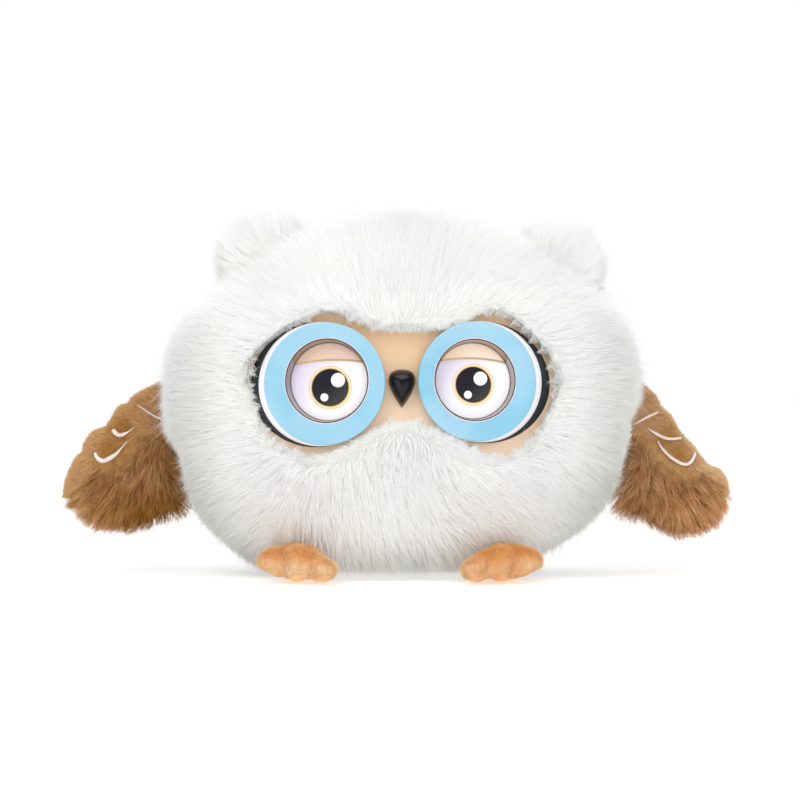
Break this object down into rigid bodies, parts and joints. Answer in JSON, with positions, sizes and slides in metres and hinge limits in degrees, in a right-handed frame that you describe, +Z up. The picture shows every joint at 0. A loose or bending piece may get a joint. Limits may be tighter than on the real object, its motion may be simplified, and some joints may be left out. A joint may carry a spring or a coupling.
{
  "type": "plush owl",
  "caption": "Squat stuffed owl in long white pile, with hinged brown wings, toed feet and a moulded goggle face mask.",
  "frame": {"origin": "on the floor, under the middle of the owl's outline from wing tip to wing tip and from beak to back", "axes": "+Z up; the owl faces -Y; +X is towards the owl's own left wing, which is on the right as one looks at its face"},
  "size_m": [0.283, 0.1456, 0.1534],
  "materials": {
    "white_pile": "long white synthetic pile, combed outwards from the face",
    "brown_pile": "brown plush, short on top and long below, with cream satin stitching",
    "peach_pile": "short peach plush",
    "fibrefill": "loose polyester filling",
    "pouch_cloth": "plain woven bag of plastic pellets",
    "peach_plastic": "satin moulded plastic",
    "blue_plastic": "smooth moulded plastic",
    "white_plastic": "smooth moulded plastic",
    "black_foam": "matt foam rubber",
    "smoked_metal": "smoked metallised plastic",
    "printed_disc": "glossy printed disc",
    "black_plastic": "polished black plastic",
    "grey_plastic": "unfinished moulded plastic",
    "steel": "zinc-plated screw"
  },
  "bodies": {
    "body": {"body_cover": "white_pile", "stuffing_core": "fibrefill", "pellet_pouch": "pouch_cloth", "ear_left": "white_pile", "ear_right": "white_pile", "foot_left": "peach_pile", "foot_right": "peach_pile", "face_mask": "peach_plastic", "mask_back_plate": "grey_plastic", "mask_screw_1": "steel", "mask_screw_2": "steel", "mask_screw_3": "steel", "mask_screw_4": "steel", "beak": "black_plastic", "beak_washer": "white_plastic", "eye_gasket_left": "black_foam", "eye_pod_left": "white_plastic", "eye_ring_left": "blue_plastic", "eye_bezel_left": "smoked_metal", "eye_disc_left": "printed_disc", "eye_gasket_right": "black_foam", "eye_pod_right": "white_plastic", "eye_ring_right": "blue_plastic", "eye_bezel_right": "smoked_metal", "eye_disc_right": "printed_disc"},
    "left_wing": {"wing_left": "brown_pile"},
    "right_wing": {"wing_right": "brown_pile"}
  },
  "joints": [
    {"name": "left_wing_seam", "type": "hinge", "parent": "body", "child": "left_wing", "pos_m": [0.0973, 0.00484, 0.063], "axis": [-0.1141, 0, -0.9935], "range_deg": [-40, 50], "stiffness_Nm_per_rad": 0.01},
    {"name": "right_wing_seam", "type": "hinge", "parent": "body", "child": "right_wing", "pos_m": [-0.0973, 0.00484, 0.063], "axis": [-0.1141, 0, 0.9935], "range_deg": [-40, 50], "stiffness_Nm_per_rad": 0.01}
  ]
}
